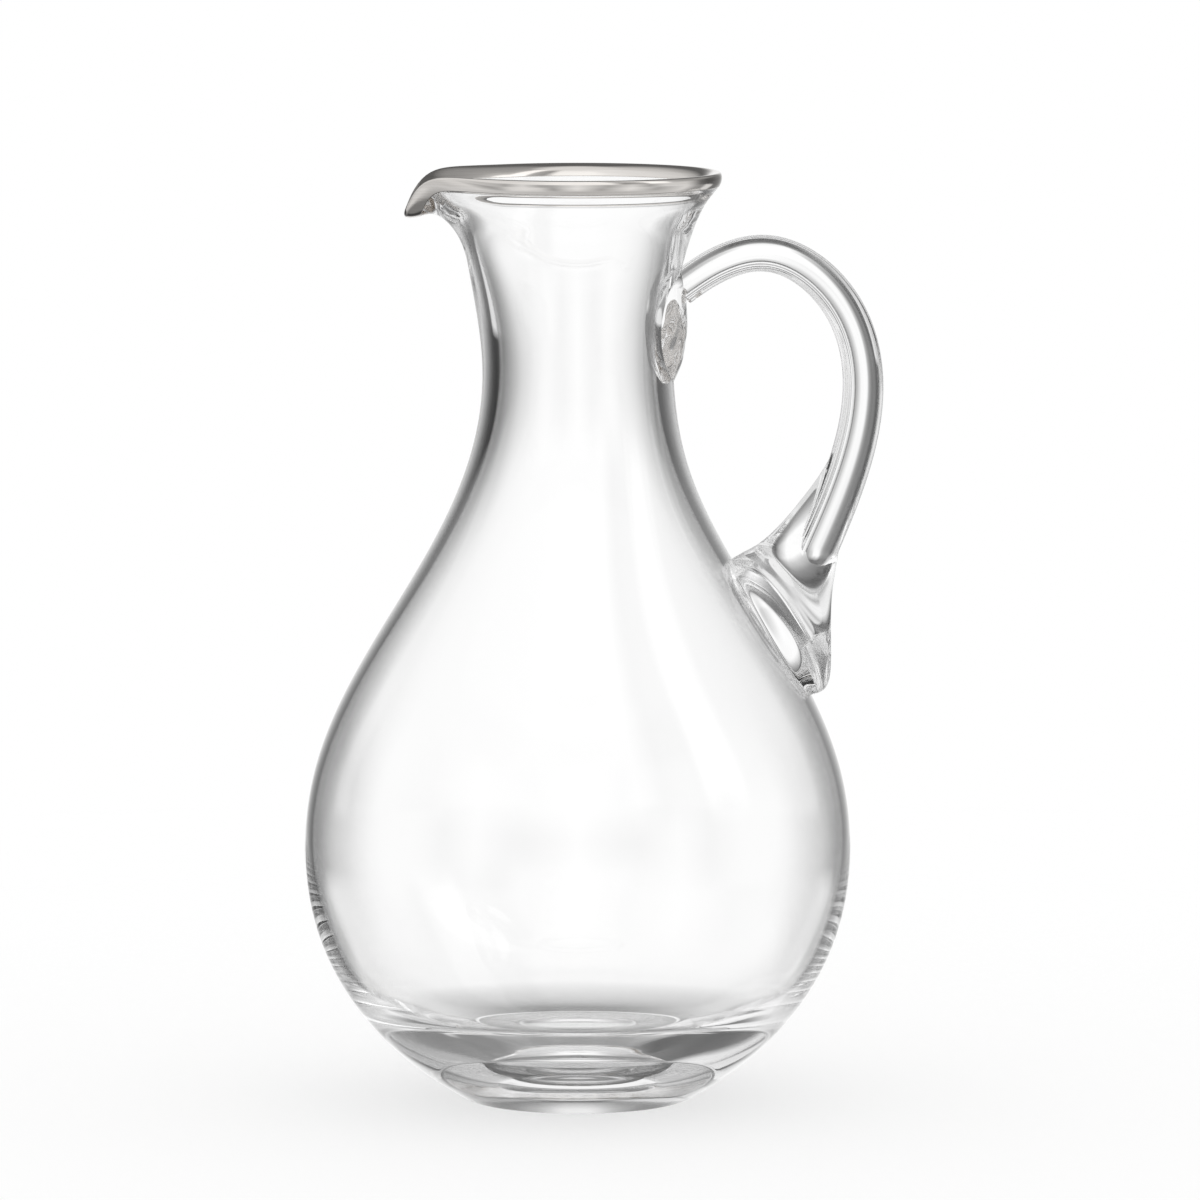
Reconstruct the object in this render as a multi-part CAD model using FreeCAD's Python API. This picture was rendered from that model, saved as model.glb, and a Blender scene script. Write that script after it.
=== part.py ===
import FreeCAD, Part
import math
import os

# A hand-blown crystal pitcher: a round bowl drawn in to a neck, a flared mouth with a pulled
# spout, a metal band fired over the lip, and a handle of applied glass. Millimetres, +Z up.
# The origin is on the vessel's axis, on the plane it stands on. Handle at +X, spout at -X.

Vector = FreeCAD.Vector

# Vessel, outside
foot_radius = 31.0
foot_rise_angle = 31.0  # how steeply the glass leaves the standing plane
bowl_radius = 74.6
bowl_height = 66.0
waist_radius = 26.0
mouth_radius = 39.3
rim_height = 254.0
waist_drop = 52.0  # below the rim, as are all drops here
mouth_flare_angle = 33.0  # lean of the plain lip from upright
lip_thickness = 2.8
# Places on the wall as (radius, height) shares of the run from one named size to the next
heel_shares = ((0.31, 0.136), (0.658, 0.364), (0.899, 0.65))
shoulder_shares = ((0.064, 0.191), (0.319, 0.397), (0.665, 0.603), (0.928, 0.809))
mouth_shares = ((0.135, 0.456), (0.444, 0.74), (0.774, 0.906))

# Vessel, inside
neck_wall = 4.7
bowl_wall = 2.0
base_thickness = 15.0
floor_radius = 18.0
cavity_shares = ((0.092, 0.44), (0.295, 0.765), (0.597, 0.929))
pontil_radius = 17.0
pontil_depth = 1.5

# Spout, pulled out of the mouth's ring
spout_reach = 47.2
spout_lip_drop = 11.0
spout_lip_thickness = 3.4
spout_lean_angle = 126.0  # past level, so the lip turns down and drips cleanly
spout_half_angle = 58.0
dip_sharpness = 5  # the lip dips over a narrower stretch than it is drawn out
spout_shares = ((0.179, 0.596), (0.397, 0.904), (0.734, 1.023))

# Rim band
band_thickness = 0.35
band_outside = 1.6
band_inside = 4.5

# Handle rod
rod_start_depth = 9.5
rod_end_depth = 12.2
rod_start_width = 9.8
rod_end_width = 12.6
bow_root_drop = 32.5
bow_top_reach = 51.1
bow_top_drop = 22.2
bow_back_reach = 77.7
bow_back_drop = 56.0
rise_share = (0.46, 0.7)
turn_share = (0.763, 0.396)
fall_share = (0.344, 0.548)
# Half of the rod's section, as shares of its depth and width, from the back of the loop inwards
section_shares = (
    (0.42, 0.23),
    (0.32, 0.355),
    (0.24, 0.39),
    (0.13, 0.435),
    (0.0, 0.465),
    (-0.13, 0.41),
    (-0.21, 0.355),
    (-0.3, 0.365),
    (-0.43, 0.23),
)

# Upper seat, an oval bit on the neck
pad_centre_drop = 39.5
pad_height = 44.0
pad_width = 27.0
pad_depth = 17.8
pad_stand = 3.9  # how far it stands off the neck

# Lower seat, a boot-shaped bit on the shoulder
seat_top_drop = 105.7
seat_height = 37.3
seat_width = 33.0
seat_rise = 40.0  # how far it climbs off the shoulder, along the rod
seat_sink = 4.0  # how far its blank is let into the wall before it is trimmed
# (share of the rise, near end, far end, width) of each level: ends as shares of the seat's length
seat_shares = (
    (0.1, -0.5, 0.51, 0.8),
    (0.23, -0.5, 0.38, 0.5),
    (0.42, -0.54, 0.08, 0.29),
    (0.6, -0.6, -0.14, 0.2),
    (0.78, -0.67, -0.35, 0.17),
    (0.92, -0.74, -0.53, 0.13),
)
toe_place_share = (-0.21, 0.41)  # where the rod ends, along the seat and off the shoulder
pinch_place_share = (0.154, 0.105, 0.112)  # along the seat, off the shoulder and across
pinch_taper_angle = 8.0
pinch_dip_angle = 8.0

# How finely curves are followed
ring_count = 36
ring_passes = 12
section_count = 15
seat_points = 12
round_angles = (25.0, 50.0, 72.0)


def lerp(start, end, share):
    return start + (end - start) * share


def along(start, end, shares):
    return [(lerp(start[0], end[0], r), lerp(start[1], end[1], z)) for r, z in shares]


def lip(radius, height, lean, thickness):
    # Outer side, tip and inner side of a rounded lip whose middle is at the given place.
    half = thickness / 2
    out_r, out_z = math.sin(math.radians(lean)) * half, math.cos(math.radians(lean)) * half
    return [(radius + out_z, height - out_r), (radius + out_r, height + out_z), (radius - out_z, height + out_r)]


def inwards(before, point, after, wall):
    # The point moved square to the wall, to its inner side.
    run_r, run_z = after[0] - before[0], after[1] - before[1]
    length = math.hypot(run_r, run_z)
    return (point[0] - run_z / length * wall, point[1] + run_r / length * wall)


def meridian(mouth_lip, shares):
    # Stations from the foot, up the outside, over the lip and down the inside to the floor.
    foot, bowl, waist = (foot_radius, 0), (bowl_radius, bowl_height), (waist_radius, waist_height)
    outside = [foot, *along(foot, bowl, heel_shares), bowl, *along(bowl, waist, shoulder_shares)]
    outside += [waist, *along(waist, mouth_lip[0], shares), mouth_lip[0]]
    inside = []
    for i in range(len(outside) - 2, len(heel_shares), -1):
        rise = min(1, (outside[i][1] - bowl_height) / (waist_height - bowl_height))
        flare = max(0, (outside[i][1] - waist_height) / waist_drop)
        wall = lerp(lerp(bowl_wall, neck_wall, rise**2), lip_thickness, flare**2)
        inside.append(inwards(outside[i - 1], outside[i], outside[i + 1], wall))
    floor = (floor_radius, base_thickness)
    inside += [*along(inside[-1], floor, cavity_shares), floor]
    return outside + mouth_lip[1:] + inside


waist_height = rim_height - waist_drop
lip_middle = (mouth_radius - lip_thickness / 2, rim_height - lip_thickness / 2)
plain_lip = lip(*lip_middle, mouth_flare_angle, lip_thickness)
spout_lip_middle = (spout_reach - spout_lip_thickness / 2, rim_height - spout_lip_drop)
spout_lip = lip(*spout_lip_middle, spout_lean_angle, spout_lip_thickness)
plain = meridian(plain_lip, mouth_shares)
pulled = meridian(spout_lip, spout_shares)
lip_first = plain.index(plain_lip[0])
lip_last = plain.index(plain_lip[-1])


def places(first, second):
    # One parameter for each station, by its mean distance along the two lists.
    at = [0]
    for i in range(1, len(first)):
        steps = [math.dist(line[i - 1], line[i]) for line in (first, second)]
        at.append(at[-1] + sum(steps) / len(steps))
    return at


def spin(stations, azimuth):
    return [Vector(r * math.cos(azimuth), r * math.sin(azimuth), z) for r, z in stations]


def wall_curve(stations, azimuth):
    rise = math.radians(foot_rise_angle)
    leaving = spin([(math.cos(rise), math.sin(rise))], azimuth)[0]
    curve = Part.BSplineCurve()
    curve.interpolate(
        Points=spin(stations, azimuth),
        Parameters=places(plain, pulled),
        InitialTangent=leaving,
        FinalTangent=spin([(-1, 0)], azimuth)[0],
        Scale=False,
    )
    return curve


def band_places():
    return places(plain_band + plain_band[:1], pulled_band + pulled_band[:1])


def band_curve(stations, azimuth):
    curve = Part.BSplineCurve()
    curve.interpolate(Points=spin(stations, azimuth), PeriodicFlag=True, Parameters=band_places())
    return curve


def ring_poles(values):
    # Poles of a closed even cubic that passes through the values.
    poles = values
    count = len(values)
    for _ in range(ring_passes):
        passed = [(poles[i - 1] + poles[i] * 4 + poles[(i + 1) % count]) / 6 for i in range(count)]
        poles = [pole + value - hit for pole, value, hit in zip(poles, values, passed)]
    return poles


def ring_strips(curve_at, plain_stations, pulled_stations, joins):
    # A skin round the axis: the plain section all round, changing to the pulled one at the spout.
    # The lip is drawn out in step with the pull, and dips only close to the spout's middle.
    # It is made in strips that meet at the joins.
    curves = []
    for i in range(ring_count):
        turn = 2 * math.pi * i / ring_count
        off = abs(math.degrees(turn) - 180) / spout_half_angle
        pull = (1 + math.cos(math.pi * min(1, off))) / 2
        pairs = zip(plain_stations, pulled_stations)
        mixed = [(lerp(a[0], b[0], pull), lerp(a[1], b[1], pull**dip_sharpness)) for a, b in pairs]
        curves.append(curve_at(mixed, turn))
    rows = [ring_poles(list(row)) for row in zip(*(curve.getPoles() for curve in curves))]
    surface = Part.BSplineSurface()
    surface.buildFromPolesMultsKnots(
        [list(column) for column in zip(*rows)],
        [1] * (ring_count + 1),
        curves[0].getMultiplicities(),
        list(range(ring_count + 1)),
        curves[0].getKnots(),
        True,
        curves[0].isPeriodic(),
        3,
        3,
    )
    u_start, u_end, v_start, v_end = surface.bounds()
    strips = []
    for low, high in zip([v_start, *joins], [*joins, v_end]):
        strip = surface.copy()
        strip.segment(u_start, u_end, low, high)
        strips.append(strip.toShape())
    return strips


def solid_of(faces):
    shell = Part.makeShell(faces)
    shell.sewShape()
    solid = Part.makeSolid(shell)
    if solid.Volume < 0:
        solid.reverse()
    return solid


def outside_piece(shape):
    # What stays outside the vessel when a blank has been trimmed to its wall.
    middles = [(solid, solid.CenterOfMass) for solid in shape.Solids]
    outside = [solid for solid, middle in middles if middle.x > wall_place(middle.z).x]
    return max(outside, key=lambda solid: solid.Volume)


def disc(strip):
    # The flat that closes a strip's lower end.
    rings = [edge for edge in strip.Edges if edge.isClosed()]
    return Part.Face(Part.Wire([min(rings, key=lambda ring: ring.CenterOfMass.z)]))


def make_vessel():
    at = places(plain, pulled)
    waist = plain.index((waist_radius, waist_height))
    joins = [at[i] for i in (waist, lip_first, lip_last, lip_first + lip_last - waist)]
    strips = ring_strips(wall_curve, plain, pulled, joins)
    solid = solid_of([*strips, disc(strips[0]), disc(strips[-1])])
    hollow_radius = (pontil_radius**2 + pontil_depth**2) / (2 * pontil_depth)
    hollow = Part.makeSphere(hollow_radius, Vector(0, 0, pontil_depth - hollow_radius))
    return solid.cut(hollow).Solids[0]


def band_stations(stations):
    # The band's section: the lip's own line stood off by the metal, closed inside the glass.
    curve = wall_curve(stations, 0)
    over = []
    for place in over_places:
        point, run = curve.value(place), curve.tangent(place)[0]
        over.append((point.x + run.z * band_thickness, point.z - run.x * band_thickness))
    core = (curve.value(over_places[0]) + curve.value(over_places[-1])) / 2
    return over + [(core.x, core.z)]


# Along the wall: the band's outer edge, the lip's outer side, tip and inner side, the inner edge
lip_start, lip_tip, lip_end = places(plain, pulled)[lip_first : lip_last + 1]
band_start, band_end = lip_start - band_outside, lip_end + band_inside
over_places = [band_start, (band_start + lip_start) / 2, lip_start, lip_tip]
over_places += [lip_end, (lip_end + band_end) / 2, band_end]
plain_band = band_stations(plain)
pulled_band = band_stations(pulled)


def make_rim_band(vessel):
    at = band_places()
    joins = [at[len(over_places) // 2], at[len(over_places) - 1]]
    blank = solid_of(ring_strips(band_curve, plain_band, pulled_band, joins))
    return max(blank.cut(vessel).Solids, key=lambda solid: solid.Volume)


def wall_place(height):
    # The point on the plain outside of the vessel at a height.
    curve = wall_curve(plain, 0)
    low, high = 0, places(plain, pulled)[lip_first]
    for _ in range(48):
        middle = (low + high) / 2
        if curve.value(middle).z < height:
            low = middle
        else:
            high = middle
    return curve.value(low)


def closed_wire(points):
    curve = Part.BSplineCurve()
    curve.interpolate(Points=points, PeriodicFlag=True)
    return Part.Wire([curve.toShape()])


def make_upper_seat(vessel):
    oval = FreeCAD.Matrix()
    oval.scale(pad_depth / 2, pad_width / 2, pad_height / 2)
    height = rim_height - pad_centre_drop
    reach = wall_place(height).x + pad_stand - pad_depth / 2
    blank = Part.makeSphere(1).transformGeometry(oval)
    blank.translate(Vector(reach, 0, height))
    return outside_piece(blank.cut(vessel))


# The lower seat's own frame: along the shoulder, and square off it
seat_top_height = rim_height - seat_top_drop
seat_top, seat_bottom = wall_place(seat_top_height), wall_place(seat_top_height - seat_height)
seat_length = seat_top.distanceToPoint(seat_bottom)
seat_middle = (seat_top + seat_bottom) / 2
seat_run = (seat_bottom - seat_top) / seat_length
seat_out = Vector(-seat_run.z, 0, seat_run.x)


def seat_point(run, out, side):
    return seat_middle + seat_run * run + seat_out * out + Vector(0, side, 0)


def between(start, end, share):
    return Vector(lerp(start.x, end.x, share[0]), 0, lerp(start.z, end.z, share[1]))


def bow_path():
    root = wall_place(rim_height - bow_root_drop)
    top = Vector(bow_top_reach, 0, rim_height - bow_top_drop)
    back = Vector(bow_back_reach, 0, rim_height - bow_back_drop)
    toe = seat_point(toe_place_share[0] * seat_length, toe_place_share[1] * seat_rise, 0)
    curve = Part.BSplineCurve()
    curve.interpolate(
        Points=[
            root,
            between(root, top, rise_share),
            top,
            between(top, back, turn_share),
            back,
            between(back, toe, fall_share),
            toe,
        ]
    )
    return curve


def rod_section(path, share, size):
    place = lerp(path.FirstParameter, path.LastParameter, share)
    middle, run = path.value(place), path.tangent(place)[0]
    out = Vector(-run.z, 0, run.x)
    depth = lerp(rod_start_depth, rod_end_depth, share) * size
    width = lerp(rod_start_width, rod_end_width, share) * size
    sides = [(0.5, 0), *section_shares, (-0.5, 0), *((a, -b) for a, b in reversed(section_shares))]
    return closed_wire([middle + out * (a * depth) + Vector(0, b * width, 0) for a, b in sides])


def make_bow(vessel, upper_seat):
    path = bow_path()
    round_share = rod_end_depth / 2 / path.length()
    shares = [(1 - round_share) * i / (section_count - 1) for i in range(section_count)]
    wires = [rod_section(path, share, 1) for share in shares]
    for angle in round_angles:
        turn = math.radians(angle)
        wires.append(rod_section(path, 1 - round_share * (1 - math.sin(turn)), math.cos(turn)))
    blank = Part.makeLoft(wires, True, False)
    return outside_piece(blank.cut(upper_seat).cut(vessel))


def seat_level(out, start, end, width):
    middle, reach = (start + end) / 2 * seat_length, (end - start) / 2 * seat_length
    points = []
    for i in range(seat_points):
        turn = 2 * math.pi * i / seat_points
        run, side = middle + reach * math.cos(turn), width * seat_width / 2 * math.sin(turn)
        points.append(seat_point(run, out, side))
    return closed_wire(points)


def pinch(side):
    # The mark that the pincers left on one side of the tail, with a step at its two inner edges.
    taper, dip = math.radians(pinch_taper_angle), math.radians(pinch_dip_angle)
    run = seat_run * math.cos(dip) - seat_out * math.sin(dip)
    across = Vector(0, side, 0)
    length = run * math.cos(taper) - across * math.sin(taper)
    facing = run * math.sin(taper) + across * math.cos(taper)
    reach = seat_length + seat_width
    block = Part.makeBox(reach, reach, reach, Vector(0, min(0, -side) * reach, 0))
    sizes = (seat_length, seat_rise, side * seat_width)
    place = seat_point(*(share * size for share, size in zip(pinch_place_share, sizes)))
    turn = FreeCAD.Rotation(length, facing.cross(length), facing, "XZY")
    block.Placement = FreeCAD.Placement(place, turn)
    return block


def make_lower_seat(vessel, bow):
    wires = [seat_level(-seat_sink, -0.5, 0.5, 1), seat_level(0, -0.5, 0.5, 1)]
    wires += [seat_level(rise * seat_rise, start, end, width) for rise, start, end, width in seat_shares]
    blank = Part.makeLoft(wires, True, False)
    for side in (-1, 1):
        blank = blank.cut(pinch(side))
    return outside_piece(blank.cut(bow).cut(vessel))


vessel = make_vessel()
upper_seat = make_upper_seat(vessel)
bow = make_bow(vessel, upper_seat)
pieces = {
    "vessel": vessel,
    "rim_band": make_rim_band(vessel),
    "handle_bow": bow,
    "handle_upper_seat": upper_seat,
    "handle_lower_seat": make_lower_seat(vessel, bow),
}

os.makedirs("parts", exist_ok=True)
for name, piece in pieces.items():
    piece.exportStep("parts/" + name + ".step")
    box = piece.optimalBoundingBox()
    print(name, piece.ShapeType, len(piece.Solids), piece.isValid(), round(piece.Volume), "mm3")
    print("  ", [round(v, 2) for v in (box.XMin, box.XMax, box.YMin, box.YMax, box.ZMin, box.ZMax)])
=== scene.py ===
import math

import bmesh
import bpy
import numpy as np
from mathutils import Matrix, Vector, noise


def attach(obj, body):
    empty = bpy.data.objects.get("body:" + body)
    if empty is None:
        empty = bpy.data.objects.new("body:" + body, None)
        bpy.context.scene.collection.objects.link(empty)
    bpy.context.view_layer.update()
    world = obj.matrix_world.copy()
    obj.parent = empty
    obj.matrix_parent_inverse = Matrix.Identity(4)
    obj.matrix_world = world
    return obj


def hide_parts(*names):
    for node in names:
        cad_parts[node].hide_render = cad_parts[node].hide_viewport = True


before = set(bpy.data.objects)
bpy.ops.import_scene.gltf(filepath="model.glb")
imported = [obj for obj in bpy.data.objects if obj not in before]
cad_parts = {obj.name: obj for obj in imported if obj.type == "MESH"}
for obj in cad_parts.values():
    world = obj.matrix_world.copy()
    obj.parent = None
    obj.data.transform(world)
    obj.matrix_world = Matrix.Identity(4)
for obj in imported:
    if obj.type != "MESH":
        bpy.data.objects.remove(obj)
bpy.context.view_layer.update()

scene = bpy.context.scene
scene.view_settings.view_transform = "Standard"
mm = 0.001
mergeWithin = 1e-5  # metres: closer points of a rolled-up grid become one
print("frame loaded")


# small helpers for node trees

def addNode(tree, kind, inputs=None, **settings):
    node = tree.nodes.new(kind)
    for name, value in settings.items():
        setattr(node, name, value)
    for key, value in (inputs or {}).items():
        if isinstance(value, bpy.types.NodeSocket):
            tree.links.new(value, node.inputs[key])
        else:
            node.inputs[key].default_value = value
    return node


def sums(tree, operation, *values):
    node = addNode(tree, "ShaderNodeMath", dict(enumerate(values)), operation=operation)
    return node.outputs[0]


def vectorSums(tree, operation, *values):
    node = addNode(tree, "ShaderNodeVectorMath", dict(enumerate(values)), operation=operation)
    return node.outputs[0]


def mixValue(tree, share, start, end):
    way = sums(tree, "SUBTRACT", end, start)
    return sums(tree, "ADD", start, sums(tree, "MULTIPLY", share, way))


def parts(tree, vector):
    return addNode(tree, "ShaderNodeSeparateXYZ", {0: vector}).outputs


def joined(tree, x, y, z):
    return addNode(tree, "ShaderNodeCombineXYZ", {0: x, 1: y, 2: z}).outputs[0]


def newTree(name, sockets):
    tree = bpy.data.node_groups.new(name, "GeometryNodeTree")
    tree.interface.new_socket("Piece", in_out="OUTPUT", socket_type="NodeSocketGeometry")
    for label, kind in sockets:
        tree.interface.new_socket(label, in_out="INPUT", socket_type="NodeSocket" + kind)
    given = tree.nodes.new("NodeGroupInput").outputs
    return tree, given


def curveOf(tree, source):
    # a helper object's curve, with the points that it is drawn with
    curve = addNode(tree, "GeometryNodeObjectInfo", {"Object": source}).outputs["Geometry"]
    return addNode(tree, "GeometryNodeResampleCurve", {"Curve": curve}, mode="EVALUATED").outputs[0]


def flatGrid(tree, given, place):
    # a flat grid to roll up, and each point's share of the way across and up it
    grid = addNode(tree, "GeometryNodeMeshGrid", {
        "Size X": 1.0,
        "Size Y": 1.0,
        "Vertices X": sums(tree, "ADD", given["Columns"], 1.0),
        "Vertices Y": given["Rows"],
    }).outputs["Mesh"]
    across, up, _ = parts(tree, place)
    return grid, sums(tree, "ADD", across, 0.5), sums(tree, "ADD", up, 0.5)


def pointAt(tree, curve, place, index):
    wanted = {"Geometry": curve, "Value": place, "Index": index}
    kinds = {"data_type": "FLOAT_VECTOR", "domain": "POINT"}
    return parts(tree, addNode(tree, "GeometryNodeSampleIndex", wanted, **kinds).outputs[0])


def closeTree(tree, grid, position, finish):
    # rolls the grid up, shuts its seam and poles, and dresses it
    rolled = {"Geometry": grid, "Position": position}
    mesh = addNode(tree, "GeometryNodeSetPosition", rolled).outputs[0]
    near = {"Geometry": mesh, "Distance": mergeWithin}
    merged = addNode(tree, "GeometryNodeMergeByDistance", near).outputs[0]
    smooth = addNode(tree, "GeometryNodeSetShadeSmooth", {"Geometry": merged}).outputs[0]
    real = addNode(tree, "GeometryNodeRealizeInstances", {0: smooth}).outputs[0]
    dress = {"Geometry": real, "Material": finish}
    dressed = addNode(tree, "GeometryNodeSetMaterial", dress).outputs[0]
    addNode(tree, "NodeGroupOutput", {"Piece": dressed})


def makeFromTree(name, tree, values):
    # runs the tree on an empty host and keeps the result as a plain mesh
    host = bpy.data.objects.new(name, bpy.data.meshes.new(name))
    scene.collection.objects.link(host)
    modifier = host.modifiers.new(name, "NODES")
    modifier.node_group = tree
    for item in tree.interface.items_tree:
        if item.in_out == "INPUT":
            modifier[item.identifier] = values[item.name]
    graph = bpy.context.evaluated_depsgraph_get()
    mesh = bpy.data.meshes.new_from_object(host.evaluated_get(graph), depsgraph=graph)
    host.modifiers.clear()
    host.data = mesh
    mesh.name = name
    for value in values.values():
        if isinstance(value, bpy.types.Object):
            bpy.data.objects.remove(value)
    faceOut(mesh)
    return host


def faceOut(mesh):
    work = bmesh.new()
    work.from_mesh(mesh)
    bmesh.ops.recalc_face_normals(work, faces=work.faces)
    work.to_mesh(mesh)
    work.free()


def bezierObject(name, splines, steps, closed=False):
    # each spline is a list of (point, handle before, handle after) in millimetres
    curve = bpy.data.curves.new(name, "CURVE")
    curve.dimensions = "3D"
    for rows in splines:
        spline = curve.splines.new("BEZIER")
        spline.bezier_points.add(len(rows) - 1)
        spline.resolution_u = steps
        spline.use_cyclic_u = closed
        for knot, (point, before, after) in zip(spline.bezier_points, rows):
            knot.handle_left_type = knot.handle_right_type = "FREE"
            knot.co = Vector(point) * mm
            knot.handle_left, knot.handle_right = Vector(before) * mm, Vector(after) * mm
    helper = bpy.data.objects.new(name, curve)
    scene.collection.objects.link(helper)
    return helper


def smoothSlopes(points, places, first=None, last=None):
    # slopes of the smooth cubic through the points, with given or free ends
    p, h = np.array(points, float), np.diff(places)
    count = len(p)
    grid, right = np.zeros((count, count)), np.zeros_like(p)
    for i in range(1, count - 1):
        grid[i, i - 1 : i + 2] = h[i], 2 * (h[i - 1] + h[i]), h[i - 1]
        right[i] = 3 * (h[i] * (p[i] - p[i - 1]) / h[i - 1] + h[i - 1] * (p[i + 1] - p[i]) / h[i])
    for end, near, slope, step in ((0, 1, first, h[0]), (-1, -2, last, h[-1])):
        if slope is None:
            grid[end, end], grid[end, near] = 2, 1
            right[end] = 3 * (p[max(end, near)] - p[min(end, near)]) / step
        else:
            grid[end, end], right[end] = 1, slope
    return np.linalg.solve(grid, right)


def bezierRows(points, places, slopes):
    rows = []
    for i, (point, slope) in enumerate(zip(np.array(points, float), slopes)):
        before = places[i] - places[i - 1] if i else places[1] - places[0]
        after = places[i + 1] - places[i] if i + 1 < len(places) else before
        rows.append((point, point - slope * before / 3, point + slope * after / 3))
    return rows


def standing(rows):
    # (radius, height) rows stood up in the XZ plane
    return [tuple((v[0], 0, v[1]) for v in row) for row in rows]


# the blown body, in millimetres, places as (radius, height)
body = {
    "footRadius": 31.0,
    "footRise": 31.0,  # degrees
    "footRound": 0.7,
    "footHandle": 0.55,  # reach of the curve's handles in that round, as a share of it
    "pontilRadius": 17.0,
    "pontilDepth": 1.5,
    "bowl": (74.6, 66.0),
    "waist": (26.0, 202.0),
    "mouthRadius": 39.3,
    "rimHeight": 254.0,
    "mouthFlare": 33.0,  # degrees from upright
    "lipThickness": 2.8,
    "neckWall": 4.7,
    "bowlWall": 2.0,
    "baseThickness": 15.0,
    "floorRadius": 18.0,
    # places between these, as shares of the way out and of the way up
    "heelShares": ((0.31, 0.136), (0.658, 0.364), (0.899, 0.65)),
    "shoulderShares": ((0.064, 0.191), (0.319, 0.397), (0.665, 0.603), (0.928, 0.809)),
    "mouthShares": ((0.135, 0.456), (0.444, 0.74), (0.774, 0.906)),
    "cavityShares": ((0.092, 0.44), (0.295, 0.765), (0.597, 0.929)),
    "columns": 152,
    "spanLimit": 12.0,  # of wall between two knots
    "stepsPerSpan": 8,
    "plugRows": 120,
    "plugSkin": 1.0,  # glass left between the hollow and the handle's roots
    "sharpAngle": 38.0,  # degrees: keener edges are not smoothed over
}
spout = {
    "reach": 47.2,
    "lipHeight": 243.0,
    "lipThickness": 3.4,
    "lean": 126.0,  # degrees, past level so that it drips cleanly
    "shares": ((0.179, 0.596), (0.397, 0.904), (0.734, 1.023)),
    "halfAngle": 58.0,  # degrees
    "dipSharpness": 5.0,
}


def onTheWay(start, end, shares):
    r, z = end[0] - start[0], end[1] - start[1]
    return [(start[0] + r * a, start[1] + z * b) for a, b in shares]


def roundLip(radius, height, lean, thickness):
    # outer side, tip and inner side
    half = thickness / 2
    r, z = math.sin(math.radians(lean)) * half, math.cos(math.radians(lean)) * half
    return [(radius + z, height - r), (radius + r, height + z), (radius - z, height + r)]


def leavingFoot():
    rise = math.radians(body["footRise"])
    return math.cos(rise), math.sin(rise)


def wallStations(lip, mouthShares):
    # from the foot, up the outside, over the lip and down the inside to the floor
    run = leavingFoot()
    foot = (body["footRadius"], 0)
    outside = [foot, *onTheWay(foot, body["bowl"], body["heelShares"]), body["bowl"]]
    outside += [*onTheWay(body["bowl"], body["waist"], body["shoulderShares"]), body["waist"]]
    outside += [*onTheWay(body["waist"], lip[0], mouthShares), lip[0]]
    inside = []
    for i in range(len(outside) - 2, len(body["heelShares"]), -1):
        rise = (outside[i][1] - body["bowl"][1]) / (body["waist"][1] - body["bowl"][1])
        wall = body["bowlWall"] + (body["neckWall"] - body["bowlWall"]) * min(1, rise) ** 2
        flare = (outside[i][1] - body["waist"][1]) / (body["rimHeight"] - body["waist"][1])
        wall += (body["lipThickness"] - wall) * max(0, flare) ** 2
        r, z = outside[i + 1][0] - outside[i - 1][0], outside[i + 1][1] - outside[i - 1][1]
        chord = math.hypot(r, z)
        inside.append((outside[i][0] - z / chord * wall, outside[i][1] + r / chord * wall))
    floor = (body["floorRadius"], body["baseThickness"])
    inside += [*onTheWay(inside[-1], floor, body["cavityShares"]), floor]
    outside[0] = (foot[0] + run[0] * body["footRound"], run[1] * body["footRound"])
    return outside + lip[1:] + inside


def wallPlaces(first, second):
    # one scale along both walls, by the mean of their steps
    spans = zip(first, first[1:], second, second[1:])
    return [0, *np.cumsum([(math.dist(a, b) + math.dist(c, d)) / 2 for a, b, c, d in spans])]


lipHalf = body["lipThickness"] / 2
plainMiddle = (body["mouthRadius"] - lipHalf, body["rimHeight"] - lipHalf)
spoutMiddle = (spout["reach"] - spout["lipThickness"] / 2, spout["lipHeight"])
plainLip = roundLip(*plainMiddle, body["mouthFlare"], body["lipThickness"])
spoutLip = roundLip(*spoutMiddle, spout["lean"], spout["lipThickness"])
plainWall = wallStations(plainLip, body["mouthShares"])
spoutWall = wallStations(spoutLip, spout["shares"])
placesOnWall = wallPlaces(plainWall, spoutWall)
lipFirst, lipLast = plainWall.index(plainLip[0]), plainWall.index(plainLip[2])


def wallSlopes(stations):
    return smoothSlopes(stations, placesOnWall, leavingFoot(), (-1, 0))


def cubicAt(start, startRun, end, endRun, t):
    # a point on the cubic between two stations, and its run
    point = start * (2 * t**3 - 3 * t**2 + 1) + end * (3 * t**2 - 2 * t**3)
    point = point + startRun * (t**3 - 2 * t**2 + t) + endRun * (t**3 - t**2)
    run = (end - start) * (6 * t - 6 * t**2)
    return point, run + startRun * (3 * t**2 - 4 * t + 1) + endRun * (3 * t**2 - 2 * t)


def wallPoint(stations, slopes, place):
    # the wall's point at a place along it, and its slope there
    i = int(np.clip(np.searchsorted(placesOnWall, place) - 1, 0, len(stations) - 2))
    span = placesOnWall[i + 1] - placesOnWall[i]
    start, end = np.array(stations[i]), np.array(stations[i + 1])
    share = (place - placesOnWall[i]) / span
    point, run = cubicAt(start, slopes[i] * span, end, slopes[i + 1] * span, share)
    return point, run / span


def onWall(stations, slopes, place, stand=0.0):
    # the same, stood off square to the wall
    point, run = wallPoint(stations, slopes, place)
    return point + np.array((run[1], -run[0])) / np.hypot(*run) * stand


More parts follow.
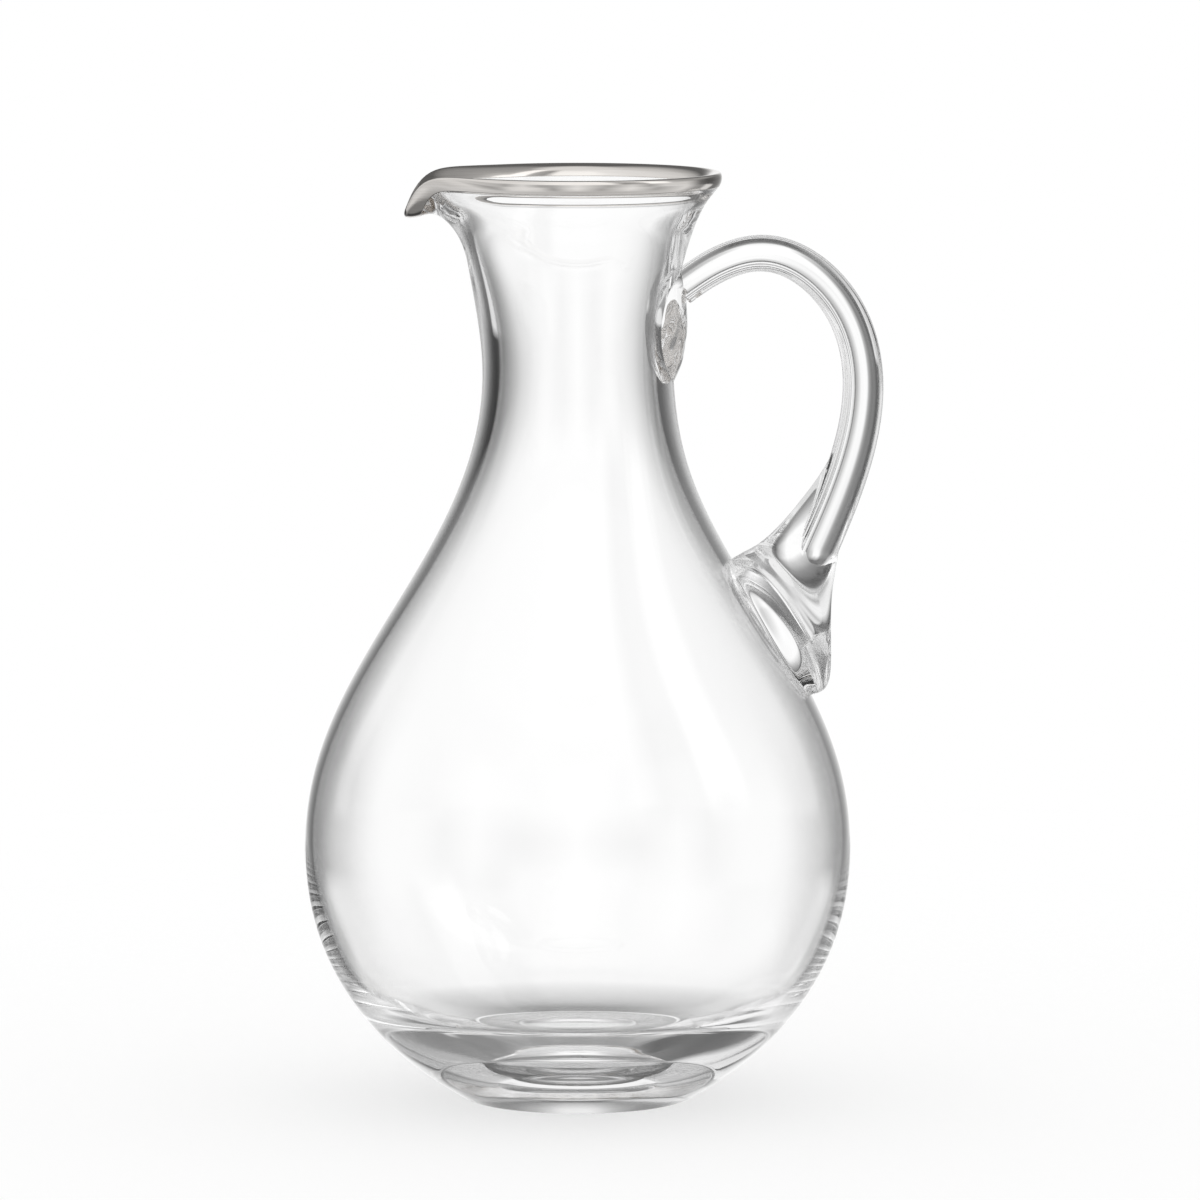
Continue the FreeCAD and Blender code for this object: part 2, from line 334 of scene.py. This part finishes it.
def wallRows(stations):
    # long spans are cut up, so that no facet shows at the edges
    slopes, places = wallSlopes(stations), []
    for start, end in zip(placesOnWall, placesOnWall[1:]):
        cuts = math.ceil((end - start) / body["spanLimit"])
        places += np.linspace(start, end, cuts, endpoint=False).tolist()
    places.append(placesOnWall[-1])
    points, runs = zip(*(wallPoint(stations, slopes, place) for place in places))
    return bezierRows(points, places, runs)


def baseRows():
    # the polished hollow and the flat ring that the pitcher stands on
    deep, wide, soft = body["pontilDepth"], body["pontilRadius"], body["footRound"]
    slope = 2 * math.atan(deep / wide)
    reach = math.hypot(wide, deep) / 3
    edge = body["footRadius"] - soft
    before = (wide - reach * math.cos(slope), reach * math.sin(slope))
    return [
        ((0, deep), (0, deep), (reach, deep)),
        ((wide, 0), before, (wide + reach / 2, 0)),
        ((edge, 0), (edge - reach / 2, 0), (edge + soft * body["footHandle"], 0)),
    ]


def sectionRows(stations):
    # the base, the wall and the flat middle of the floor
    rows = wallRows(stations)
    run, soft = leavingFoot(), body["footRound"] * body["footHandle"]
    point = rows[0][0]
    rows[0] = (point, point - np.array(run) * soft, rows[0][2])
    last = rows[-1][0]
    rows[-1] = (last, rows[-1][1], last - np.array((last[0] / 3, 0)))
    middle = np.array((0, last[1]))
    rows.append((middle, middle + np.array((last[0] / 3, 0)), middle))
    return standing(baseRows() + rows)


# turns two sections round the axis: the plain one, drawn out to the other at the spout

def turnedTree():
    tree, given = newTree("turnedRound", (
        ("Sections", "Object"),
        ("Columns", "Int"),
        ("Rows", "Int"),
        ("Spout Half Angle", "Float"),
        ("Dip Sharpness", "Float"),
        ("Finish", "Material"),
    ))
    sections = curveOf(tree, given["Sections"])
    place = addNode(tree, "GeometryNodeInputPosition").outputs[0]
    grid, across, up = flatGrid(tree, given, place)
    turn = sums(tree, "MULTIPLY", across, 2 * math.pi)
    lastRow = sums(tree, "SUBTRACT", given["Rows"], 1.0)
    row = sums(tree, "ROUND", sums(tree, "MULTIPLY", up, lastRow))
    off = sums(tree, "ABSOLUTE", sums(tree, "SUBTRACT", turn, math.pi))
    off = sums(tree, "MINIMUM", sums(tree, "DIVIDE", off, given["Spout Half Angle"]), 1.0)
    pull = sums(tree, "COSINE", sums(tree, "MULTIPLY", off, math.pi))
    pull = sums(tree, "MULTIPLY", sums(tree, "ADD", pull, 1.0), 0.5)
    dip = sums(tree, "POWER", pull, given["Dip Sharpness"])
    plain = pointAt(tree, sections, place, row)
    pulled = pointAt(tree, sections, place, sums(tree, "ADD", row, given["Rows"]))
    radius = mixValue(tree, pull, plain[0], pulled[0])
    height = mixValue(tree, dip, plain[2], pulled[2])
    x = sums(tree, "MULTIPLY", radius, sums(tree, "COSINE", turn))
    y = sums(tree, "MULTIPLY", radius, sums(tree, "SINE", turn))
    closeTree(tree, grid, joined(tree, x, y, height), given["Finish"])
    return tree


# clear blown glass with the faint waves of hand work
glassLook = {
    "ior": 1.52,
    "waveStretch": (1.0, 1.0, 0.45),
    "waveScale": 38.0,
    "waveDetail": 1.0,
    "waveStrength": 0.06,
    "waveHeight": 0.0004,  # metres
    "smearScale": 90.0,
    "smearDetail": 4.0,
    "smearFrom": 0.55,  # noise at which a smear begins
    "smearFull": 0.8,
    "smearRoughness": 0.012,
}
# fired silver lustre, brushed on round the lip
lustreLook = {
    "streakStretch": (0.12, 0.12, 9.0),
    "streakScale": 160.0,
    "streakDetail": 3.0,
    "streakStrength": 0.15,
    "streakHeight": 0.0001,  # metres
    "darkFrom": (0.3, (0.66, 0.63, 0.60, 1)),
    "lightFrom": (0.7, (0.78, 0.755, 0.73, 1)),
    "roughness": (0.05, 0.14),
}


def newMaterial(name):
    material = bpy.data.materials.new(name)
    material.use_nodes = True
    return material, material.node_tree


def noiseOn(tree, where, scale, detail):
    wanted = {"Vector": where, "Scale": scale, "Detail": detail}
    return addNode(tree, "ShaderNodeTexNoise", wanted).outputs["Fac"]


def stretched(tree, where, scale):
    return addNode(tree, "ShaderNodeMapping", {"Vector": where, "Scale": scale}).outputs[0]


def bumpOf(tree, height, strength, distance):
    wanted = {"Height": height, "Strength": strength, "Distance": distance}
    return addNode(tree, "ShaderNodeBump", wanted).outputs[0]


def ranged(tree, value, start, end, low=0.0, high=1.0):
    # the value's way from start to end, as a number from low to high
    return addNode(tree, "ShaderNodeMapRange", {
        "Value": value, "From Min": start, "From Max": end, "To Min": low, "To Max": high,
    }).outputs[0]


def crystalMaterial():
    look = glassLook
    material, tree = newMaterial("clearCrystal")
    shader = tree.nodes["Principled BSDF"].inputs
    shader["Base Color"].default_value = (1, 1, 1, 1)
    shader["Transmission Weight"].default_value = 1.0
    shader["IOR"].default_value = look["ior"]
    where = addNode(tree, "ShaderNodeTexCoord").outputs["Object"]
    longWise = stretched(tree, where, look["waveStretch"])
    waves = noiseOn(tree, longWise, look["waveScale"], look["waveDetail"])
    bump = bumpOf(tree, waves, look["waveStrength"], look["waveHeight"])
    tree.links.new(bump, shader["Normal"])
    smear = noiseOn(tree, where, look["smearScale"], look["smearDetail"])
    rough = ranged(tree, smear, look["smearFrom"], look["smearFull"], high=look["smearRoughness"])
    tree.links.new(rough, shader["Roughness"])
    return material


def lustreMaterial():
    look = lustreLook
    material, tree = newMaterial("lipLustre")
    shader = tree.nodes["Principled BSDF"].inputs
    shader["Metallic"].default_value = 1.0
    where = addNode(tree, "ShaderNodeTexCoord").outputs["Object"]
    brushed = stretched(tree, where, look["streakStretch"])
    streaks = noiseOn(tree, brushed, look["streakScale"], look["streakDetail"])
    tone = addNode(tree, "ShaderNodeValToRGB", {"Fac": streaks})
    for element, stop in zip(tone.color_ramp.elements, (look["darkFrom"], look["lightFrom"])):
        element.position, element.color = stop
    tree.links.new(tone.outputs["Color"], shader["Base Color"])
    tree.links.new(ranged(tree, streaks, 0.0, 1.0, *look["roughness"]), shader["Roughness"])
    bump = bumpOf(tree, streaks, look["streakStrength"], look["streakHeight"])
    tree.links.new(bump, shader["Normal"])
    return material


crystal, lustre = crystalMaterial(), lustreMaterial()
turned = turnedTree()
steps = body["stepsPerSpan"]
sections = [sectionRows(plainWall), sectionRows(spoutWall)]
roundValues = {
    "Columns": body["columns"],
    "Spout Half Angle": math.radians(spout["halfAngle"]),
    "Dip Sharpness": spout["dipSharpness"],
}
vessel = makeFromTree("crystalPitcher", turned, {
    "Sections": bezierObject("vesselSections", sections, steps),
    "Rows": (len(sections[0]) - 1) * steps + 1,
    "Finish": crystal,
    **roundValues,
})
print("body blown:", len(vessel.data.vertices), "points")


# the lustre on the lip, in millimetres along the wall
band = {
    "outside": 1.6,
    "inside": 4.5,
    "stand": 0.12,  # off the glass
    "gap": 0.02,  # a hair of air, so that the lip swallows no light that runs in the glass
    "stepsPerSpan": 4,
    "points": 13,
}


def bandRows(stations):
    slopes = wallSlopes(stations)
    start = placesOnWall[lipFirst] - band["outside"]
    end = placesOnWall[lipLast] + band["inside"]
    places = np.linspace(start, end, band["points"])
    over = [onWall(stations, slopes, place, band["stand"]) for place in places]
    under = [onWall(stations, slopes, place, band["gap"]) for place in places]
    ring = over + under[::-1] + over[:1]
    corners = (0, len(over) - 1, len(over), len(ring) - 2, len(ring) - 1)
    rows = []
    for i, point in enumerate(ring):
        before, after = ring[max(i - 1, 0)], ring[min(i + 1, len(ring) - 1)]
        slope = (after - before) / 6
        if i in corners:
            rows.append((point, point + (before - point) / 3, point + (after - point) / 3))
        else:
            rows.append((point, point - slope, point + slope))
    return standing(rows)


bandSections = [bandRows(plainWall), bandRows(spoutWall)]
rimBand = makeFromTree("rimBand", turned, {
    "Sections": bezierObject("bandSections", bandSections, band["stepsPerSpan"]),
    "Rows": (len(bandSections[0]) - 1) * band["stepsPerSpan"] + 1,
    "Finish": lustre,
    **roundValues,
})
print("lip banded:", len(rimBand.data.vertices), "points")


# the handle's pulled rod, in millimetres, places as (reach, height)
rod = {
    "startDepth": 9.5,
    "endDepth": 12.2,
    "startWidth": 9.8,
    "endWidth": 12.6,
    "rootHeight": 221.5,
    "top": (51.1, 231.8),
    "back": (77.7, 198.0),
    "riseShare": (0.46, 0.7),
    "turnShare": (0.763, 0.396),
    "fallShare": (0.344, 0.548),
    # half of its section, as shares of its depth and width, from the outside of the loop inwards
    "sectionShares": (
        (0.42, 0.23), (0.32, 0.355), (0.24, 0.39), (0.13, 0.435), (0.0, 0.465),
        (-0.13, 0.41), (-0.21, 0.355), (-0.3, 0.365), (-0.43, 0.23),
    ),
    "rows": 160,
    "roundRows": 0.1,  # share of the rows that round off its end
    "stepsPerSpan": 4,
    "routeSteps": 24,
}
# the boot-shaped bit that carries its lower end
seat = {
    "topHeight": 148.3,
    "bottomHeight": 111.0,
    "width": 33.0,
    "rise": 40.0,
    "sink": 1.5,
    "toeShare": (-0.21, 0.41),
    # shares: of the rise, of the length to the near and the far end, and of the width
    "levels": (
        (0.0, -0.5, 0.5, 1.0),
        (0.1, -0.5, 0.51, 0.8),
        (0.23, -0.5, 0.38, 0.5),
        (0.42, -0.54, 0.08, 0.29),
        (0.6, -0.6, -0.14, 0.2),
        (0.78, -0.67, -0.35, 0.17),
        (0.92, -0.74, -0.53, 0.13),
    ),
    "rows": 72,
    "columns": 96,
    "pinchShare": (0.154, 0.105, 0.112),  # along the seat, off the shoulder and across
    "pinchTaper": 8.0,  # degrees
    "pinchDip": 8.0,  # degrees
    "pinchBlock": 40.0,
    "pinchRound": 1.2,
    "pinchSegments": 5,
}
# the oval bit on the neck
pad = {
    "centreHeight": 214.5,
    "height": 44.0,
    "width": 27.0,
    "depth": 17.8,
    "stand": 3.9,
    "lumpDepth": 0.5,
    "lumpLength": 7.0,
    "columns": 96,
    "rows": 64,
}


def wallAt(height):
    # the outside of the plain wall at a height
    slopes, halvings = wallSlopes(plainWall), 48
    low, high = 0.0, placesOnWall[lipFirst]
    for _ in range(halvings):
        place = (low + high) / 2
        point = onWall(plainWall, slopes, place)
        if point[1] < height:
            low = place
        else:
            high = place
    return point


seatTop, seatBottom = wallAt(seat["topHeight"]), wallAt(seat["bottomHeight"])
seatLength = math.dist(seatTop, seatBottom)
seatMiddle = (seatTop + seatBottom) / 2
seatRun = (seatBottom - seatTop) / seatLength
seatOut = np.array((-seatRun[1], seatRun[0]))


def seatPoint(run, out, side):
    r, z = seatMiddle + seatRun * run + seatOut * out
    return Vector((r, side, z)) * mm


def rodTree():
    tree, given = newTree("pulledRod", (
        ("Route", "Object"),
        ("Section", "Object"),
        ("Columns", "Int"),
        ("Rows", "Int"),
        ("Start Depth", "Float"),
        ("End Depth", "Float"),
        ("Start Width", "Float"),
        ("End Width", "Float"),
        ("Round Rows", "Float"),
        ("Round Share", "Float"),
        ("Finish", "Material"),
    ))
    steep = 1e4  # closes the first row, and no other, to a point
    route = addNode(tree, "GeometryNodeObjectInfo", {"Object": given["Route"]}).outputs["Geometry"]
    section = curveOf(tree, given["Section"])
    place = addNode(tree, "GeometryNodeInputPosition").outputs[0]
    grid, across, up = flatGrid(tree, given, place)
    column = sums(tree, "ROUND", sums(tree, "MULTIPLY", across, given["Columns"]))
    column = sums(tree, "MODULO", column, given["Columns"])
    straight = sums(tree, "SUBTRACT", 1.0, given["Round Rows"])
    ending = sums(tree, "DIVIDE", sums(tree, "SUBTRACT", up, straight), given["Round Rows"])
    ending = sums(tree, "MULTIPLY", sums(tree, "MAXIMUM", ending, 0.0), math.pi / 2)
    rounded = sums(tree, "MULTIPLY", sums(tree, "SINE", ending), given["Round Share"])
    ran = sums(tree, "MINIMUM", sums(tree, "DIVIDE", up, straight), 1.0)
    ran = sums(tree, "MULTIPLY", ran, sums(tree, "SUBTRACT", 1.0, given["Round Share"]))
    ran = sums(tree, "ADD", ran, rounded)
    opened = sums(tree, "MINIMUM", sums(tree, "MULTIPLY", up, steep), 1.0)
    size = sums(tree, "MULTIPLY", sums(tree, "COSINE", ending), opened)
    depth = mixValue(tree, ran, given["Start Depth"], given["End Depth"])
    width = mixValue(tree, ran, given["Start Width"], given["End Width"])
    wanted = {"Curves": route, "Factor": ran}
    onRoute = addNode(tree, "GeometryNodeSampleCurve", wanted, mode="FACTOR").outputs
    deep, wide, _ = pointAt(tree, section, place, column)
    runX, _, runZ = parts(tree, onRoute["Tangent"])
    deep = sums(tree, "MULTIPLY", deep, sums(tree, "MULTIPLY", size, depth))
    wide = sums(tree, "MULTIPLY", wide, sums(tree, "MULTIPLY", size, width))
    x = sums(tree, "MULTIPLY", sums(tree, "MULTIPLY", runZ, -1.0), deep)
    move = joined(tree, x, wide, sums(tree, "MULTIPLY", runX, deep))
    closeTree(tree, grid, vectorSums(tree, "ADD", onRoute["Position"], move), given["Finish"])
    return tree


def rodRoute():
    root = wallAt(rod["rootHeight"])
    stations = [
        root,
        *onTheWay(root, rod["top"], [rod["riseShare"]]),
        rod["top"],
        *onTheWay(rod["top"], rod["back"], [rod["turnShare"]]),
        rod["back"],
        *onTheWay(rod["back"], rodToe(), [rod["fallShare"]]),
        rodToe(),
    ]
    stations = [np.array(s, float) for s in stations]
    places = [0, *np.cumsum([math.dist(a, b) for a, b in zip(stations, stations[1:])])]
    rows = bezierRows(stations, places, smoothSlopes(stations, places))
    return standing(rows), places[-1]


def rodToe():
    along, off = seat["toeShare"]
    return seatMiddle + seatRun * along * seatLength + seatOut * off * seat["rise"]


def rodSection():
    # drawn one metre deep and wide, so that the tree's depth and width are its size
    half = rod["sectionShares"]
    ring = [(0.5, 0), *half, (-0.5, 0), *((a, -b) for a, b in reversed(half))]
    rows = []
    for i in range(len(ring)):
        before, point, after = (np.array(ring[j % len(ring)]) for j in (i - 1, i, i + 1))
        slope = (after - before) / np.linalg.norm(after - before)
        rows.append(tuple((v[0], v[1], 0) for v in (
            point,
            point - slope * np.linalg.norm(point - before) / 3,
            point + slope * np.linalg.norm(after - point) / 3,
        )))
    return [tuple(np.array(v) / mm for v in row) for row in rows]


route, routeLength = rodRoute()
bow = makeFromTree("handleBow", rodTree(), {
    "Route": bezierObject("rodRoute", [route], rod["routeSteps"]),
    "Section": bezierObject("rodSection", [rodSection()], rod["stepsPerSpan"], closed=True),
    "Columns": (2 * len(rod["sectionShares"]) + 2) * rod["stepsPerSpan"],
    "Rows": rod["rows"],
    "Start Depth": rod["startDepth"] * mm,
    "End Depth": rod["endDepth"] * mm,
    "Start Width": rod["startWidth"] * mm,
    "End Width": rod["endWidth"] * mm,
    "Round Rows": rod["roundRows"],
    "Round Share": rod["endDepth"] / 2 / routeLength,
    "Finish": crystal,
})
print("rod pulled:", len(bow.data.vertices), "points")


def ringsMesh(rings):
    # a closed skin over rings of equal count, with a flat fan at each end
    work = bmesh.new()
    made = [[work.verts.new(p) for p in ring] for ring in rings]
    for low, high in zip(made, made[1:]):
        for i in range(len(low)):
            work.faces.new((low[i - 1], low[i], high[i], high[i - 1]))
    work.faces.new(made[0][::-1])
    work.faces.new(made[-1])
    bmesh.ops.recalc_face_normals(work, faces=work.faces)
    return work


def keepMesh(work, name, finish):
    mesh = bpy.data.meshes.new(name)
    work.to_mesh(mesh)
    work.free()
    mesh.materials.append(finish)
    mesh.shade_smooth()
    piece = bpy.data.objects.new(name, mesh)
    scene.collection.objects.link(piece)
    return piece


def pinchBlock(hand):
    # the jaw of the pincers that marked one side of the tail, with its edges eased
    taper, dip = math.radians(seat["pinchTaper"]), math.radians(seat["pinchDip"])
    down, out = (Vector((v[0], 0, v[1])) for v in (seatRun, seatOut))
    run = down * math.cos(dip) - out * math.sin(dip)
    across = Vector((0, hand, 0))
    length = run * math.cos(taper) - across * math.sin(taper)
    facing = run * math.sin(taper) + across * math.cos(taper)
    rise = facing.cross(length) * -hand
    along, off, aside = seat["pinchShare"]
    place = seatPoint(along * seatLength, off * seat["rise"], hand * aside * seat["width"])
    work = bmesh.new()
    bmesh.ops.create_cube(work, size=seat["pinchBlock"] * mm)
    bmesh.ops.bevel(
        work,
        geom=work.edges[:],
        offset=seat["pinchRound"] * mm,
        segments=seat["pinchSegments"],
        profile=0.5,  # round
        affect="EDGES",
    )
    half = seat["pinchBlock"] / 2 * mm
    for vert in work.verts:
        a, b, c = vert.co + Vector((half, half, half))
        vert.co = place + length * a + rise * b + facing * c
    bmesh.ops.recalc_face_normals(work, faces=work.faces)
    return keepMesh(work, "pinchBlock", crystal)


def makeLowerSeat():
    # the first level again, sunk into the shoulder, and the rest above it
    sunk = (-seat["sink"] / seat["rise"], *seat["levels"][0][1:])
    levels = np.array((sunk, *seat["levels"]))
    slopes = smoothSlopes(levels, list(range(len(levels))))
    rings = []
    for place in np.linspace(0, len(levels) - 1, seat["rows"]):
        i = min(int(place), len(levels) - 2)
        level, _ = cubicAt(levels[i], slopes[i], levels[i + 1], slopes[i + 1], place - i)
        rise, near, far, width = level
        ring = []
        for turn in np.linspace(0, 2 * math.pi, seat["columns"], endpoint=False):
            run = ((near + far) + (far - near) * math.cos(turn)) / 2 * seatLength
            side = width * seat["width"] / 2 * math.sin(turn)
            ring.append(seatPoint(run, rise * seat["rise"], side))
        rings.append(ring)
    piece = keepMesh(ringsMesh(rings), "handleLowerSeat", crystal)
    for hand in (-1, 1):
        block = pinchBlock(hand)
        combine(piece, block, "DIFFERENCE")
        bpy.data.objects.remove(block)
    return piece


def makeUpperSeat():
    work = bmesh.new()
    columns, rows = pad["columns"], pad["rows"]
    bmesh.ops.create_uvsphere(work, u_segments=columns, v_segments=rows, radius=0.5 * mm)
    reach = wallAt(pad["centreHeight"])[0] + pad["stand"] - pad["depth"] / 2
    sides = Vector((pad["depth"], pad["width"], pad["height"]))
    bmesh.ops.scale(work, vec=sides, verts=work.verts)
    work.normal_update()
    for vert in work.verts:
        # pressed on by hand: lumps that only go inwards
        lump = noise.noise(vert.co / (pad["lumpLength"] * mm)) - 1
        vert.co += vert.normal * lump * pad["lumpDepth"] / 2 * mm
    middle = Vector((reach, 0, pad["centreHeight"])) * mm
    bmesh.ops.translate(work, vec=middle, verts=work.verts)
    return keepMesh(work, "handleUpperSeat", crystal)


def cavityPlug():
    # the hollow of the body, a little fuller, to keep the handle's roots out of it
    slopes = wallSlopes(plainWall)
    turns = np.linspace(0, 2 * math.pi, body["columns"], endpoint=False)
    rings = []
    for place in np.linspace(placesOnWall[-1], placesOnWall[lipLast], body["plugRows"]):
        r, z = onWall(plainWall, slopes, place, -body["plugSkin"])
        rings.append([Vector((r * math.cos(a), r * math.sin(a), z)) * mm for a in turns])
    return keepMesh(ringsMesh(rings), "cavityPlug", crystal)


def combine(piece, other, operation):
    modifier = piece.modifiers.new(operation, "BOOLEAN")
    modifier.object, modifier.operation, modifier.solver = other, operation, "MANIFOLD"
    graph = bpy.context.evaluated_depsgraph_get()
    mesh = bpy.data.meshes.new_from_object(piece.evaluated_get(graph), depsgraph=graph)
    piece.modifiers.clear()
    piece.data = mesh
    print(operation, other.name, len(mesh.vertices), "points")


lowerSeat, upperSeat, plug = makeLowerSeat(), makeUpperSeat(), cavityPlug()
for bit in (bow, lowerSeat, upperSeat):
    combine(bit, plug, "DIFFERENCE")
    combine(vessel, bit, "UNION")
for spent in (bow, lowerSeat, upperSeat, plug):
    bpy.data.objects.remove(spent)
vessel.data.shade_smooth()
vessel.data.set_sharp_from_angle(angle=math.radians(body["sharpAngle"]))
print("handle fused on:", len(vessel.data.polygons), "faces")


# studio: a pale floor, and a room whose grey flags and lamps only the glass and the metal show
studio = {
    "cameraAt": (0.0061, -2.4, 0.41),
    "cameraPitch": 6.491,  # degrees down
    "lens": 265.35,
    "sensorWidth": 36.0,
    "clipEnd": 100.0,
    "bounces": 128,  # light crosses the walls many times, and runs along them
    "floorSize": 2.0,
    "floorFade": (0.25, 0.6),  # metres from the axis
    "floorLit": 0.35,  # share of the floor's white that the light gives, and a shadow takes away
    # tones of the room in rings, from the lowest up: the sines of the heights over which a
    # ring gives way to the next, and its tones by degrees round the object; 0 is behind it
    # and -90 on the spout's side
    "rings": (
        ((-0.84, -0.78), (
            (-180, 0.85), (-60, 0.85), (-35, 0.25), (35, 0.25), (60, 0.85), (180, 0.85),
        )),
        ((-0.66, -0.46), (
            (-180, 0.6), (-120, 0.7), (-60, 0.75), (-40, 0.42), (-18, 0.06), (18, 0.06),
            (40, 0.42), (60, 0.75), (120, 0.7), (180, 0.6),
        )),
        ((-0.22, -0.18), (
            (-180, 1.0), (-172, 0.85), (-160, 0.45), (-148, 0.9), (-135, 1.0), (-122, 0.9),
            (-110, 0.45), (-98, 0.9), (-80, 0.9), (-66, 0.5), (-57, 0.7), (-50, 0.8),
            (-44, 0.75), (-40.5, 0.08), (-28, 0.05), (-18, 0.26), (-11, 0.62), (-7, 1.0),
            (7, 1.0), (11, 0.7), (18, 0.4), (28, 0.2), (37, 0.2), (40, 0.85),
            (51, 0.85), (56, 0.3), (66, 0.4), (80, 0.9), (110, 0.5), (135, 1.0),
            (160, 0.5), (180, 1.0),
        )),
        ((0.16, 0.36), (
            (-180, 0.95), (-160, 0.5), (-150, 0.5), (-135, 0.9), (-120, 0.5), (-105, 0.85),
            (-82, 0.85), (-64, 0.12), (-50, 0.03), (-38, 0.05), (-24, 0.16), (-18, 0.28),
            (-14, 0.4), (-11, 0.53), (-8, 0.72), (-5.5, 0.92), (-3.5, 1.0), (3.5, 1.0),
            (5.5, 0.93), (8, 0.77), (11, 0.6), (18, 0.37), (24, 0.25), (42, 0.12),
            (52, 0.1), (64, 0.2), (82, 0.85), (105, 0.85), (120, 0.5), (135, 0.9),
            (155, 0.5), (180, 0.95),
        )),
        ((0.93, 0.98), (
            (-180, 1.3), (-160, 1.3), (-140, 1.1), (-110, 1.0), (-87, 0.95), (-50, 0.8),
            (-32, 0.5), (-20, 0.14), (20, 0.14), (35, 0.35), (80, 0.5), (96, 0.7),
            (100, 1.5), (117, 1.5), (121, 0.6), (140, 0.4), (152, 1.3), (180, 1.3),
        )),
        (None, ((-180, 1.0), (180, 1.0))),
    ),
}


def toneRamp(tree, place, stops):
    # stops are (place from 0 to 1, tone)
    ramp = addNode(tree, "ShaderNodeValToRGB", {"Fac": place})
    elements = ramp.color_ramp.elements
    while len(elements) < len(stops):
        elements.new(1.0)
    for element, (at, tone) in zip(elements, stops):
        element.position = at
        element.color = (tone, tone, tone, 1)
    return ramp.outputs["Color"]


def roomRays(tree):
    # above 0 for rays sent on by glass or metal, and not for the camera's own
    path = addNode(tree, "ShaderNodeLightPath").outputs
    sent = sums(tree, "MAXIMUM", path["Is Glossy Ray"], path["Is Transmission Ray"])
    return sums(tree, "SUBTRACT", sent, path["Is Camera Ray"])


def floorMaterial():
    # fades out far away, and lets the room's rays through
    material, tree = newMaterial("paleFloor")
    tree.nodes.remove(tree.nodes["Principled BSDF"])
    share = studio["floorLit"]
    lit = addNode(tree, "ShaderNodeBsdfDiffuse", {"Color": (share, share, share, 1)}).outputs[0]
    shine = {"Color": (1, 1, 1, 1), "Strength": 1 - share}
    glow = addNode(tree, "ShaderNodeEmission", shine).outputs[0]
    pale = addNode(tree, "ShaderNodeAddShader", {0: lit, 1: glow}).outputs[0]
    where = addNode(tree, "ShaderNodeTexCoord").outputs["Object"]
    away = addNode(tree, "ShaderNodeVectorMath", {0: where}, operation="LENGTH").outputs["Value"]
    fade = ranged(tree, away, *studio["floorFade"])
    fade = sums(tree, "MAXIMUM", fade, roomRays(tree))
    clear = addNode(tree, "ShaderNodeBsdfTransparent").outputs[0]
    mixed = addNode(tree, "ShaderNodeMixShader", {"Fac": fade, 1: pale, 2: clear}).outputs[0]
    tree.links.new(mixed, tree.nodes["Material Output"].inputs["Surface"])
    return material


def makeFloor():
    work = bmesh.new()
    bmesh.ops.create_grid(work, x_segments=1, y_segments=1, size=studio["floorSize"] / 2)
    floor = keepMesh(work, "floor", floorMaterial())


def makeWorld():
    world = bpy.data.worlds.new("studioAir")
    scene.world = world
    world.use_nodes = True
    tree = world.node_tree
    x, y, z = parts(tree, addNode(tree, "ShaderNodeTexCoord").outputs["Generated"])
    turn = sums(tree, "DIVIDE", sums(tree, "ARCTAN2", x, y), 2 * math.pi)
    around = sums(tree, "ADD", turn, 0.5)
    room, share = None, 0.0
    for ends, tones in studio["rings"]:
        stops = [(angle / 360 + 0.5, tone) for angle, tone in tones]
        ring = toneRamp(tree, around, stops)
        room = mixValue(tree, share, room, ring) if room else ring
        if ends:
            share = ranged(tree, z, *ends)
    seen = sums(tree, "MAXIMUM", roomRays(tree), 0.0)
    background = tree.nodes["Background"].inputs
    tree.links.new(mixValue(tree, seen, 1.0, room), background["Strength"])
    background["Color"].default_value = (1, 1, 1, 1)


makeFloor()
makeWorld()
camera = bpy.data.objects.new("camera", bpy.data.cameras.new("camera"))
camera.data.sensor_width = studio["sensorWidth"]
camera.data.lens = studio["lens"]
camera.data.clip_end = studio["clipEnd"]
camera.location = studio["cameraAt"]
camera.rotation_euler = (math.radians(90 - studio["cameraPitch"]), 0, 0)
scene.collection.objects.link(camera)
scene.camera = camera
scene.cycles.max_bounces = studio["bounces"]
scene.cycles.transmission_bounces = studio["bounces"]
scene.cycles.glossy_bounces = studio["bounces"]
print("studio set")

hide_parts("vessel", "handle_bow", "handle_upper_seat", "handle_lower_seat")
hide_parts("rim_band")
for piece in (vessel, rimBand):
    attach(piece, "root")
